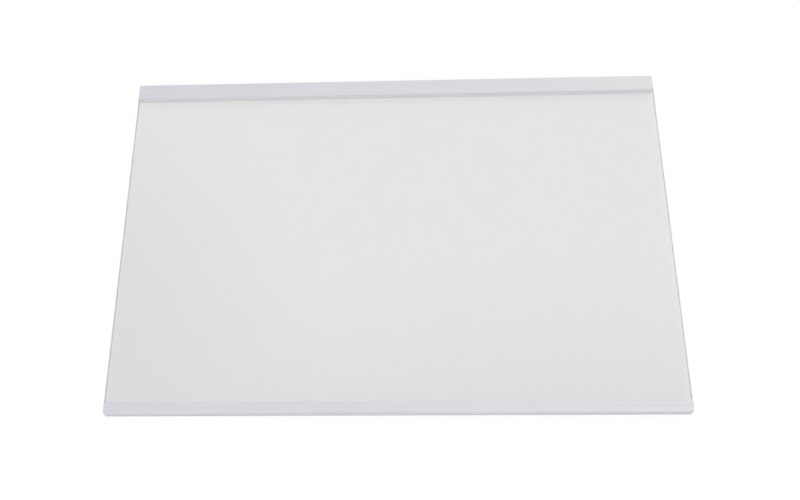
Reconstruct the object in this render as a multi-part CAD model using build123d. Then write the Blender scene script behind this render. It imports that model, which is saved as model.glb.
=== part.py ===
"""Fridge glass shelf: a toughened glass plate held in a front trim and a raised rear trim."""
import os

from build123d import *

# Overall size, in millimetres: X to the right, Y to the rear, Z up from the trims' undersides
shelf_width = 475.0
shelf_depth = 313.0

# Glass plate: float glass with ground edges, as wide as the shelf
glass_thickness = 4.0
glass_corner_radius = 1.2
glass_arris = 0.4

# Lips and grip beads that both trims share
lip_thickness = 1.7
slot_clearance = 0.3
bead_crest = 0.6
bead_flank = 0.35
bead_edge_setback = 0.7
bead_wall_setback = 2.0
lip_edge_radius = 0.6

# Front trim: a slim channel with a crowned nose, cut a little shorter than the glass
front_end_inset = 1.0
front_corner_radius = 2.0
front_depth = 10.2
front_foot_depth = 9.4
front_wall = 2.0
nose_crown = 0.5
nose_radius = 1.3

# Rear trim: a channel whose upper jaw stands above the glass as a stop, also cut shorter than the glass
rear_end_inset = 2.0
rear_corner_radius = 1.5
rear_depth = 15.0
rear_foot_depth = 12.5
rear_wall = 2.0
stop_rise = 6.5
stop_wall = 1.8
stop_edge_radius = 0.9
heel_depth = 2.5
heel_thickness = 1.6
rear_edge_radius = 0.8
chamber_radius = 0.6

# Levels and spans that follow from the sizes above
glass_bottom = lip_thickness + slot_clearance
glass_top = glass_bottom + glass_thickness
front_height = glass_top + slot_clearance + lip_thickness
rear_height = glass_top + stop_rise
front_length = shelf_width - 2 * front_end_inset
rear_length = shelf_width - 2 * rear_end_inset
glass_depth = shelf_depth - front_wall - rear_wall
glass_centre_y = (front_wall - rear_wall) / 2
bead_base = bead_crest + 2 * bead_flank


def rect(u_start, z_start, u_end, z_end):
    """A rectangle of a trim's section: u runs inwards from the outer face, z runs up."""
    centre = Pos((u_start + u_end) / 2, (z_start + z_end) / 2)
    return centre * Rectangle(u_end - u_start, z_end - z_start)


def rounded(section, radius, *corners):
    """The section with the corners at the given points rounded."""
    picked = [section.vertices().sort_by_distance((u, z, 0))[0] for u, z in corners]
    return fillet(picked, radius)


def bead(u_centre, z_lip, z_glass):
    """A grip bead from a lip to the glass, with a flat crest."""
    return make_face(Polyline(
        (u_centre - bead_base / 2, z_lip),
        (u_centre - bead_crest / 2, z_glass),
        (u_centre + bead_crest / 2, z_glass),
        (u_centre + bead_base / 2, z_lip),
        close=True,
    ))


def beads(wall, depth, z_lip, z_glass):
    """The two beads of one lip: one at its free edge, one by the wall of the channel."""
    by_edge = depth - bead_edge_setback - bead_base / 2
    by_wall = wall + bead_wall_setback
    return bead(by_edge, z_lip, z_glass) + bead(by_wall, z_lip, z_glass)


def front_section():
    """The front trim's channel, seen along its length."""
    upper_lip = front_height - lip_thickness
    nose = make_face([
        ThreePointArc((nose_crown, 0), (0, front_height / 2), (nose_crown, front_height)),
        Polyline((nose_crown, front_height), (front_wall, front_height), (front_wall, 0), (nose_crown, 0)),
    ])
    section = nose + rect(front_wall, 0, front_foot_depth, lip_thickness)
    section += rect(front_wall, upper_lip, front_depth, front_height)
    section = rounded(section, nose_radius, (nose_crown, 0), (nose_crown, front_height))
    section = rounded(section, lip_edge_radius, (front_depth, front_height), (front_foot_depth, 0))
    section += beads(front_wall, front_depth, upper_lip, glass_top)
    section += beads(front_wall, front_foot_depth, lip_thickness, glass_bottom)
    return section


def rear_section():
    """The rear trim's channel: foot, back wall, hollow jaw and the heel that keeps the glass down."""
    chamber_top = rear_height - stop_wall
    stop_inside = rear_depth - stop_wall
    section = rect(0, 0, rear_wall, rear_height)
    section += rect(rear_wall, 0, rear_foot_depth, lip_thickness)
    section += rect(rear_wall, chamber_top, rear_depth, rear_height)
    section += rect(stop_inside, glass_top, rear_depth, chamber_top)
    section += rect(rear_wall, glass_top, rear_wall + heel_depth, glass_top + heel_thickness)
    section = rounded(section, stop_edge_radius, (rear_depth, rear_height))
    section = rounded(section, rear_edge_radius, (0, rear_height), (0, 0))
    section = rounded(section, lip_edge_radius, (rear_foot_depth, 0))
    section = rounded(section, chamber_radius, (stop_inside, chamber_top), (rear_wall, chamber_top))
    section += beads(rear_wall, rear_foot_depth, lip_thickness, glass_bottom)
    return section


def end_outline(length, depth, corner_radius, height):
    """A trim's plan about its own middle, with the corners of its cut ends dressed round."""
    return extrude(RectangleRounded(length, depth, corner_radius), amount=height)


def glass_plate():
    """The glass: dubbed corners and a ground arris all round both faces."""
    outline = RectangleRounded(shelf_width, glass_depth, glass_corner_radius)
    plate = Pos(0, glass_centre_y, glass_bottom) * extrude(outline, amount=glass_thickness)
    faces = plate.faces().sort_by(Axis.Z)
    return chamfer(faces[0].edges() + faces[-1].edges(), glass_arris)


def front_trim():
    """The front trim, its section run along X behind the front face."""
    plane = Plane(origin=(-front_length / 2, -shelf_depth / 2, 0), x_dir=(0, 1, 0), z_dir=(1, 0, 0))
    profile = extrude(plane * front_section(), amount=front_length)
    middle = Pos(0, (front_depth - shelf_depth) / 2, 0)
    return profile & middle * end_outline(front_length, front_depth, front_corner_radius, front_height)


def rear_trim():
    """The rear trim, its section run along X in front of the rear face."""
    plane = Plane(origin=(rear_length / 2, shelf_depth / 2, 0), x_dir=(0, -1, 0), z_dir=(-1, 0, 0))
    profile = extrude(plane * rear_section(), amount=rear_length)
    middle = Pos(0, (shelf_depth - rear_depth) / 2, 0)
    return profile & middle * end_outline(rear_length, rear_depth, rear_corner_radius, rear_height)


pieces = {
    "glass_plate": glass_plate(),
    "front_trim": front_trim(),
    "rear_trim": rear_trim(),
}

os.makedirs("parts", exist_ok=True)
for name, piece in pieces.items():
    export_step(piece, f"parts/{name}.step")
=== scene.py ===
"""A fridge glass shelf, lit for a studio picture: a toughened glass plate in two white plastic trims."""
import math

import bmesh
import bpy
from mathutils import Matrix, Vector


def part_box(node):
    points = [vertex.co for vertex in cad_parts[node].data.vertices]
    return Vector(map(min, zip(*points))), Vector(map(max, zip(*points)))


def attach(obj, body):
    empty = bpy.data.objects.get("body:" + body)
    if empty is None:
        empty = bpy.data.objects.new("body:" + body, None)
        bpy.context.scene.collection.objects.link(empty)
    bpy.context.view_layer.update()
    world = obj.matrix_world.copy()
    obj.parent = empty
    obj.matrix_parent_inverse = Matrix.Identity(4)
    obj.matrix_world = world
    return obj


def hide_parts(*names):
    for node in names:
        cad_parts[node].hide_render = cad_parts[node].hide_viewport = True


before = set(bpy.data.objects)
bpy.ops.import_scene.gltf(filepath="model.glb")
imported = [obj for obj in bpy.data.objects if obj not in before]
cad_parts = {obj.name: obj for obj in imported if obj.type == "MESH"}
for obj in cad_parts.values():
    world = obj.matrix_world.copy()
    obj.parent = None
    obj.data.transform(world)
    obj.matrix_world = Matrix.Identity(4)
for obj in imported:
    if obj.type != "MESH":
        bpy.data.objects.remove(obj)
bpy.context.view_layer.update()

MM = 0.001
BODY = "root"

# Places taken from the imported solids, in metres
glass_low, glass_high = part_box("glass_plate")
front_low, front_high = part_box("front_trim")
rear_low, rear_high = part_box("rear_trim")

# Section of the trims: both are drawn plastic channels that grip the glass on small beads
LIP = 1.7 * MM
TRIM_WALL = 2.0 * MM
BEAD_CREST = 0.6 * MM
BEAD_BASE = 1.3 * MM
BEAD_EDGE_SETBACK = 0.7 * MM
BEAD_WALL_SETBACK = 2.0 * MM
LIP_EDGE_ROUND = 0.6 * MM
GLASS_GAP = 0.02 * MM
END_BREAK = 0.2 * MM

# Front trim: a crowned nose
FRONT_FOOT = 9.4 * MM
FRONT_END_RADIUS = 2.0 * MM
NOSE_CROWN = 0.5 * MM
NOSE_ROUND = 1.0 * MM  # how far a fillet of 1.3 mm reaches along both faces of this blunt corner

# Rear trim: a hollow jaw raised above the glass
REAR_FOOT = 12.5 * MM
REAR_END_RADIUS = 2.5 * MM
STOP_WALL = 1.8 * MM
STOP_EDGE_ROUND = 0.9 * MM
REAR_EDGE_ROUND = 0.8 * MM
CHAMBER_ROUND = 0.6 * MM
HEEL_DEPTH = 2.5 * MM
HEEL_THICKNESS = 1.6 * MM

# Glass plate
GLASS_CORNER_RADIUS = 1.2 * MM
GLASS_ARRIS = 0.7 * MM

# Meshes
ROUND_SEGMENTS = 6
END_BREAK_SEGMENTS = 2
ROUND_PROFILE = 0.5  # a bevel that follows a circle
CUT_SNAP = 0.0001 * MM
SLIVER = 0.02 * MM  # facets narrower than this are closed up
SQUARE_ON = 0.99  # a face whose normal lies this far along an axis counts as square to it
SMOOTH_ANGLE = math.radians(32)  # sharper edges than this stay sharp

# Optics
GLASS_IOR = 1.52
STYRENE_IOR = 1.57
WAVE_TURN = 20  # radians that the wave texture runs through in one unit at scale 1


def linear(hex_colour):
    """An sRGB hex colour as the linear values that shaders take."""
    channels = [int(hex_colour[i:i + 2], 16) / 255 for i in (1, 3, 5)]
    return [c / 12.92 if c <= 0.04045 else ((c + 0.055) / 1.055) ** 2.4 for c in channels] + [1.0]


def node(tree, kind, inputs=None, **settings):
    """Adds a node: settings are its own options, inputs are plain values or the sockets that feed it."""
    made = tree.nodes.new(kind)
    for option, value in settings.items():
        setattr(made, option, value)
    for socket, value in (inputs or {}).items():
        if isinstance(value, bpy.types.NodeSocket):
            tree.links.new(value, made.inputs[socket])
        else:
            made.inputs[socket].default_value = value
    return made


def new_material(name):
    """An empty material and its node tree, with the output node in place."""
    material = bpy.data.materials.new(name)
    material.use_nodes = True
    tree = material.node_tree
    tree.nodes.clear()
    return material, tree, tree.nodes.new("ShaderNodeOutputMaterial")


def drawn_white_styrene():
    """High-impact polystyrene drawn through a die: a satin cool white with faint lines along its length."""
    material, tree, output = new_material("drawn_white_styrene")
    place = node(tree, "ShaderNodeTexCoord").outputs["Object"]
    die_line_pitch = 2.4 * MM  # real die lines are finer; this pitch is the finest that still shows
    die_line_length = 180 * MM
    along = node(tree, "ShaderNodeMapping", {
        "Vector": place,
        "Scale": (1 / die_line_length, 1 / die_line_pitch, 1 / die_line_pitch),
    })
    lines = node(tree, "ShaderNodeTexNoise", {
        "Vector": along.outputs["Vector"], "Scale": 1.0, "Detail": 3.0,
    })
    cloud_size = 70 * MM
    cloud = node(tree, "ShaderNodeTexNoise", {"Vector": place, "Scale": 1 / cloud_size, "Detail": 2.0})
    mottle = node(tree, "ShaderNodeMix", {
        "Factor": cloud.outputs["Fac"],
        "A": linear("#DADADB"),
        "B": linear("#DFDFE0"),
    }, data_type="RGBA")
    streak = node(tree, "ShaderNodeMapRange", {
        "Value": lines.outputs["Fac"], "From Min": 0.35, "From Max": 0.75, "To Min": 0.0, "To Max": 0.3,
    })
    tint = node(tree, "ShaderNodeMix", {
        "Factor": streak.outputs["Result"],
        "A": mottle.outputs["Result"],
        "B": linear("#CBCBCE"),
    }, data_type="RGBA")
    gloss = node(tree, "ShaderNodeMapRange", {
        "Value": lines.outputs["Fac"], "From Min": 0.3, "From Max": 0.7, "To Min": 0.34, "To Max": 0.48,
    })
    relief = node(tree, "ShaderNodeBump", {
        "Height": lines.outputs["Fac"], "Strength": 0.15, "Distance": 0.1 * MM,
    })
    shader = node(tree, "ShaderNodeBsdfPrincipled", {
        "Base Color": tint.outputs["Result"],
        "Roughness": gloss.outputs["Result"],
        "Normal": relief.outputs["Normal"],
        "IOR": STYRENE_IOR,
    })
    tree.links.new(shader.outputs["BSDF"], output.inputs["Surface"])
    return material


def sawn_white_styrene():
    """The same styrene where a saw cut the length off: dull, with fine steps left by the blade."""
    material, tree, output = new_material("sawn_white_styrene")
    place = node(tree, "ShaderNodeTexCoord").outputs["Object"]
    saw_mark_pitch = 0.7 * MM
    marks = node(tree, "ShaderNodeTexWave", {
        "Vector": place,
        "Scale": math.tau / (WAVE_TURN * saw_mark_pitch),
        "Distortion": 3.0,
        "Detail": 2.0,
    }, bands_direction="Z")
    tint = node(tree, "ShaderNodeMix", {
        "Factor": marks.outputs["Fac"],
        "A": linear("#C6C5CA"),
        "B": linear("#DDDCE1"),
    }, data_type="RGBA")
    relief = node(tree, "ShaderNodeBump", {
        "Height": marks.outputs["Fac"], "Strength": 0.3, "Distance": 0.08 * MM,
    })
    shader = node(tree, "ShaderNodeBsdfPrincipled", {
        "Base Color": tint.outputs["Result"],
        "Roughness": 0.7,
        "Normal": relief.outputs["Normal"],
        "IOR": STYRENE_IOR,
    })
    tree.links.new(shader.outputs["BSDF"], output.inputs["Surface"])
    return material


def toughened_float_glass():
    """Soda-lime float glass, fire-polished, with the long slow waves that the toughening rollers leave."""
    material, tree, output = new_material("toughened_float_glass")
    place = node(tree, "ShaderNodeTexCoord").outputs["Object"]
    roller_wave = 240 * MM
    waves = node(tree, "ShaderNodeTexWave", {
        "Vector": place,
        "Scale": math.tau / (WAVE_TURN * roller_wave),
        "Distortion": 1.5,
        "Detail": 1.0,
    }, bands_direction="X", wave_profile="SIN")
    relief = node(tree, "ShaderNodeBump", {
        "Height": waves.outputs["Fac"], "Strength": 0.2, "Distance": 0.02 * MM,
    })
    wipe_size = 45 * MM
    wipe = node(tree, "ShaderNodeTexNoise", {"Vector": place, "Scale": 1 / wipe_size, "Detail": 4.0})
    haze = node(tree, "ShaderNodeMapRange", {
        "Value": wipe.outputs["Fac"], "From Min": 0.45, "From Max": 0.8, "To Min": 0.0, "To Max": 0.05,
    })
    shader = node(tree, "ShaderNodeBsdfPrincipled", {
        # The base colour is greyer than clear float glass: in part it is painted shade, standing in for the
        # shade on the table seen through the glass.
        "Base Color": linear("#E6E6E6"),
        "Roughness": haze.outputs["Result"],
        "Normal": relief.outputs["Normal"],
        "IOR": GLASS_IOR,
        "Transmission Weight": 1.0,
    })
    tree.links.new(shader.outputs["BSDF"], output.inputs["Surface"])
    return material


def ground_glass_edge():
    """The same glass where a diamond wheel ground its rim: pale and frosted, with fine lines along it."""
    material, tree, output = new_material("ground_glass_edge")
    place = node(tree, "ShaderNodeTexCoord").outputs["Object"]
    wheel_line_pitch = 0.6 * MM  # real wheel lines are finer; this pitch is the finest that still shows
    wheel_line_length = 45 * MM
    along = node(tree, "ShaderNodeMapping", {
        "Vector": place,
        "Scale": (1 / wheel_line_length, 1 / wheel_line_length, 1 / wheel_line_pitch),
    })
    lines = node(tree, "ShaderNodeTexNoise", {
        "Vector": along.outputs["Vector"], "Scale": 1.0, "Detail": 3.0,
    })
    bite = node(tree, "ShaderNodeMapRange", {
        "Value": lines.outputs["Fac"], "From Min": 0.3, "From Max": 0.7,
    })
    tint = node(tree, "ShaderNodeMix", {
        "Factor": bite.outputs["Result"],
        "A": linear("#ECEDF4"),
        "B": linear("#FEFEFF"),
    }, data_type="RGBA")
    frost = node(tree, "ShaderNodeMapRange", {
        "Value": lines.outputs["Fac"], "From Min": 0.3, "From Max": 0.7, "To Min": 0.45, "To Max": 0.65,
    })
    relief = node(tree, "ShaderNodeBump", {
        "Height": lines.outputs["Fac"], "Strength": 0.25, "Distance": 0.05 * MM,
    })
    shader = node(tree, "ShaderNodeBsdfPrincipled", {
        "Base Color": tint.outputs["Result"],
        "Roughness": frost.outputs["Result"],
        "Normal": relief.outputs["Normal"],
        "IOR": GLASS_IOR,
        "Transmission Weight": 0.6,
    })
    tree.links.new(shader.outputs["BSDF"], output.inputs["Surface"])
    return material


def white_floor(seen):
    """A matt white table top: it keeps the shelf's shadow, and shows as white where nothing shades it."""
    material, tree, output = new_material("matt_white_table")
    sheet = node(tree, "ShaderNodeBsdfDiffuse", {"Color": linear("#505050")})
    ray = node(tree, "ShaderNodeLightPath")
    shown = node(tree, "ShaderNodeMath", {
        0: ray.outputs["Is Camera Ray"], 1: ray.outputs["Is Glossy Ray"],
    }, operation="MAXIMUM")
    shown = node(tree, "ShaderNodeMath", {
        0: shown.outputs["Value"], 1: ray.outputs["Is Transmission Ray"],
    }, operation="MAXIMUM")
    lift = node(tree, "ShaderNodeMath", {0: shown.outputs["Value"], 1: seen}, operation="MULTIPLY")
    glow = node(tree, "ShaderNodeEmission", {"Strength": lift.outputs["Value"]})
    both = node(tree, "ShaderNodeAddShader", {0: sheet.outputs["BSDF"], 1: glow.outputs["Emission"]})
    tree.links.new(both.outputs["Shader"], output.inputs["Surface"])
    return material


def finished(bm, name, materials):
    """The bmesh as an object of that name, with smooth rounds and flat flats."""
    bmesh.ops.recalc_face_normals(bm, faces=bm.faces)
    mesh = bpy.data.meshes.new(name)
    bm.to_mesh(mesh)
    bm.free()
    for material in materials:
        mesh.materials.append(material)
    mesh.shade_smooth()
    mesh.set_sharp_from_angle(angle=SMOOTH_ANGLE)
    piece = bpy.data.objects.new(name, mesh)
    bpy.context.scene.collection.objects.link(piece)
    flats = piece.modifiers.new("even_flats", "WEIGHTED_NORMAL")
    flats.keep_sharp = True
    return piece


def bead_points(u_centre, z_lip, z_crest):
    """A grip bead's corners along a lip, towards the glass and back: distance in, height, rounding."""
    return [
        (u_centre - BEAD_BASE / 2, z_lip, 0),
        (u_centre - BEAD_CREST / 2, z_crest, 0),
        (u_centre + BEAD_CREST / 2, z_crest, 0),
        (u_centre + BEAD_BASE / 2, z_lip, 0),
    ]


def lip_points(depth, z_lip, z_crest):
    """The gripping side of a lip from the channel's wall out to its free edge, with its two beads."""
    by_wall = TRIM_WALL + BEAD_WALL_SETBACK
    by_edge = depth - BEAD_EDGE_SETBACK - BEAD_BASE / 2
    return [
        (TRIM_WALL, z_lip, 0),
        *bead_points(by_wall, z_lip, z_crest),
        *bead_points(by_edge, z_lip, z_crest),
        (depth, z_lip, 0),
    ]


def nose_points(height):
    """The crowned face of the nose from top to bottom, on one shallow arc."""
    half = height / 2
    radius = (half ** 2 + NOSE_CROWN ** 2) / (2 * NOSE_CROWN)
    rises = [half * share for share in (0.5, 0, -0.5)]
    return [(radius - math.sqrt(radius ** 2 - rise ** 2), half + rise, 0) for rise in rises]


def front_outline():
    """The front trim's section, anticlockwise from under the nose."""
    depth = front_high.y - front_low.y
    height = front_high.z
    return [
        (NOSE_CROWN, 0, NOSE_ROUND),
        (FRONT_FOOT, 0, LIP_EDGE_ROUND),
        *reversed(lip_points(FRONT_FOOT, LIP, glass_low.z - GLASS_GAP)),
        *lip_points(depth, height - LIP, glass_high.z + GLASS_GAP),
        (depth, height, LIP_EDGE_ROUND),
        (NOSE_CROWN, height, NOSE_ROUND),
        *nose_points(height),
    ]


def rear_outline():
    """The rear trim's section, anticlockwise from under its back wall."""
    depth = rear_high.y - rear_low.y
    height = rear_high.z
    on_glass = glass_high.z + GLASS_GAP
    heel_top = glass_high.z + HEEL_THICKNESS
    heel_front = TRIM_WALL + HEEL_DEPTH
    chamber_top = height - STOP_WALL
    stop_inside = depth - STOP_WALL
    return [
        (0, 0, REAR_EDGE_ROUND),
        (REAR_FOOT, 0, LIP_EDGE_ROUND),
        *reversed(lip_points(REAR_FOOT, LIP, glass_low.z - GLASS_GAP)),
        (TRIM_WALL, on_glass, 0),
        (heel_front, on_glass, 0),
        (heel_front, heel_top, 0),
        (TRIM_WALL, heel_top, 0),
        (TRIM_WALL, chamber_top, CHAMBER_ROUND),
        (stop_inside, chamber_top, CHAMBER_ROUND),
        (stop_inside, on_glass, 0),
        (depth, on_glass, 0),
        (depth, height, STOP_EDGE_ROUND),
        (0, height, REAR_EDGE_ROUND),
    ]


def bevel(bm, geom, offset, segments, affect="EDGES"):
    """Cuts edges, or the corners of a flat outline, back by an offset on either side."""
    bmesh.ops.bevel(bm, geom=geom, offset=offset, offset_type="OFFSET", affect=affect,
                    segments=segments, profile=ROUND_PROFILE, material=-1, clamp_overlap=True)


def drawn_trim(name, outline, low, high, y_outer, inward, end_radius, materials):
    """A trim: its section drawn along X, its ends cut square, their corners dressed and edges broken."""
    bm = bmesh.new()
    corners = [bm.verts.new((low.x, y_outer + inward * u, z)) for u, z, _ in outline]
    bm.faces.new(corners)
    for corner, (_, _, rounding) in zip(corners, outline):
        if rounding:
            bevel(bm, [corner], rounding, ROUND_SEGMENTS, affect="VERTICES")
    drawn = bmesh.ops.extrude_face_region(bm, geom=bm.faces[:])
    moved = [v for v in drawn["geom"] if isinstance(v, bmesh.types.BMVert)]
    bmesh.ops.translate(bm, verts=moved, vec=(high.x - low.x, 0, 0))
    bmesh.ops.recalc_face_normals(bm, faces=bm.faces)
    rim = list({e for f in bm.faces if abs(f.normal.x) > SQUARE_ON for e in f.edges})
    bevel(bm, rim, END_BREAK, END_BREAK_SEGMENTS)
    dress_ends(bm, low, high, end_radius)
    bmesh.ops.remove_doubles(bm, verts=bm.verts, dist=SLIVER)
    bm.normal_update()
    for face in bm.faces:
        face.material_index = 1 if abs(face.normal.x) > SQUARE_ON else 0
    return finished(bm, name, materials)


def dress_ends(bm, low, high, radius):
    """Rounds both ends' corners on plan by a few straight cuts each, closing the trim after every cut."""
    middle = (low + high) / 2
    to_centre = (high - low) / 2 - Vector((radius, radius, 0))
    for end, side in ((-1, -1), (-1, 1), (1, -1), (1, 1)):
        centre = middle + Vector((end * to_centre.x, side * to_centre.y, 0))
        for step in range(1, ROUND_SEGMENTS):
            turn = math.radians(90) * step / ROUND_SEGMENTS
            outward = Vector((end * math.cos(turn), side * math.sin(turn), 0))
            whole = bm.verts[:] + bm.edges[:] + bm.faces[:]
            cut = bmesh.ops.bisect_plane(bm, geom=whole, dist=CUT_SNAP, plane_co=centre + radius * outward,
                                         plane_no=outward, clear_outer=True)
            opened = [e for e in cut["geom_cut"] if isinstance(e, bmesh.types.BMEdge)]
            bmesh.ops.holes_fill(bm, edges=opened, sides=0)


def glass_plate(materials):
    """The glass: a plate with dubbed corners and a ground arris round both faces."""
    size = glass_high - glass_low
    bm = bmesh.new()
    bmesh.ops.create_cube(bm, size=1.0)
    bmesh.ops.scale(bm, verts=bm.verts, vec=size)
    bmesh.ops.translate(bm, verts=bm.verts, vec=(glass_low + glass_high) / 2)
    upright = [e for e in bm.edges if abs(e.verts[0].co.z - e.verts[1].co.z) > size.z / 2]
    bevel(bm, upright, GLASS_CORNER_RADIUS, ROUND_SEGMENTS)
    bm.normal_update()
    rim = list({e for f in bm.faces if abs(f.normal.z) > SQUARE_ON for e in f.edges})
    bevel(bm, rim, GLASS_ARRIS, segments=1)
    bm.normal_update()
    for face in bm.faces:
        face.material_index = 0 if abs(face.normal.z) > SQUARE_ON else 1
    return finished(bm, "glass", materials)


def studio_floor():
    """The table that the shelf lies on, far wider than the picture."""
    floor_half_width = 4.0
    floor_drop = 0.05 * MM
    bm = bmesh.new()
    bmesh.ops.create_grid(bm, x_segments=1, y_segments=1, size=floor_half_width)
    bmesh.ops.translate(bm, verts=bm.verts, vec=(0, 0, -floor_drop))
    mesh = bpy.data.meshes.new("table")
    bm.to_mesh(mesh)
    bm.free()
    mesh.materials.append(white_floor(seen=0.935))
    floor = bpy.data.objects.new("table", mesh)
    bpy.context.scene.collection.objects.link(floor)


def soft_lamp(name, place, aim, size, watts, colour):
    """A square soft lamp that hangs at a place and points at another."""
    lamp = bpy.data.lights.new(name, "AREA")
    lamp.shape = "SQUARE"
    lamp.size = size
    lamp.energy = watts
    lamp.color = linear(colour)[:3]
    hung = bpy.data.objects.new(name, lamp)
    hung.location = place
    hung.rotation_euler = (Vector(aim) - Vector(place)).to_track_quat("-Z", "Y").to_euler()
    hung.visible_glossy = False  # mirrored in the trims, a lamp would bleach them
    bpy.context.scene.collection.objects.link(hung)
    return hung


def studio_light():
    """White walls with two unlit patches of ceiling, a soft lamp on the right and a far one in front."""
    world = bpy.data.worlds.new("studio")
    world.use_nodes = True
    tree = world.node_tree
    tree.nodes.clear()
    towards = node(tree, "ShaderNodeTexCoord").outputs["Generated"]
    walls = node(tree, "ShaderNodeBackground", {"Color": linear("#FCFCFD"), "Strength": 1.06})
    ceiling = node(tree, "ShaderNodeBackground", {"Color": linear("#7A7AFF"), "Strength": 0.31})
    # Each patch: the way to its middle, and the angles from there, in degrees,
    # at which its dark part ends and full light begins
    unlit_patches = (
        ((0.11, -0.575, 1.0), 38.5, 54.5),
        ((-0.585, 0.2, 1.0), 9.5, 28.0),
    )
    sky = walls.outputs["Background"]
    for middle, dark, lit in unlit_patches:
        overhead = node(tree, "ShaderNodeVectorMath", {
            0: towards, 1: Vector(middle).normalized(),
        }, operation="DOT_PRODUCT")
        unlit = node(tree, "ShaderNodeMapRange", {
            "Value": overhead.outputs["Value"],
            "From Min": math.cos(math.radians(lit)),
            "From Max": math.cos(math.radians(dark)),
        }, interpolation_type="SMOOTHSTEP")
        sky = node(tree, "ShaderNodeMixShader", {
            0: unlit.outputs["Result"], 1: sky, 2: ceiling.outputs["Background"],
        }).outputs["Shader"]
    output = tree.nodes.new("ShaderNodeOutputWorld")
    tree.links.new(sky, output.inputs["Surface"])
    bpy.context.scene.world = world
    right_lamp = soft_lamp("right_lamp", place=(1.6, 0.45, 0.55), aim=(0.1, 0.05, 0.0),
                           size=0.45, watts=16.0, colour="#FFFDD2")
    right_lamp.visible_transmission = False  # mirrored in the glass, it would look like a hole in it
    soft_lamp("front_lamp", place=(-0.6, -3.45, 2.65), aim=(0.0, 0.0, 0.0),
              size=2.0, watts=108.5, colour="#FEFFEE")


def studio_camera():
    """The picture's view: high over the front edge, a little to the right of the middle."""
    view = bpy.data.cameras.new("camera")
    view.sensor_width = 36.0
    view.lens = 46.269
    view.shift_x = 0.0527
    camera = bpy.data.objects.new("camera", view)
    camera.location = (14.21 * MM, -376.12 * MM, 811.81 * MM)
    camera.rotation_euler = [math.radians(a) for a in (24.340, 2.921, 0.600)]
    bpy.context.scene.collection.objects.link(camera)
    bpy.context.scene.camera = camera


def place_piece(piece, cad_node):
    """Lets a finished piece stand for its solid and ride with the shelf."""
    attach(piece, BODY)
    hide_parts(cad_node)


styrene = [drawn_white_styrene(), sawn_white_styrene()]
glass = glass_plate([toughened_float_glass(), ground_glass_edge()])
front = drawn_trim("front_channel", front_outline(), front_low, front_high, y_outer=front_low.y, inward=1,
                   end_radius=FRONT_END_RADIUS, materials=styrene)
rear = drawn_trim("rear_channel", rear_outline(), rear_low, rear_high, y_outer=rear_high.y, inward=-1,
                  end_radius=REAR_END_RADIUS, materials=styrene)
place_piece(glass, "glass_plate")
place_piece(front, "front_trim")
place_piece(rear, "rear_trim")

studio_floor()
studio_light()
studio_camera()
bpy.context.scene.view_settings.view_transform = "Standard"
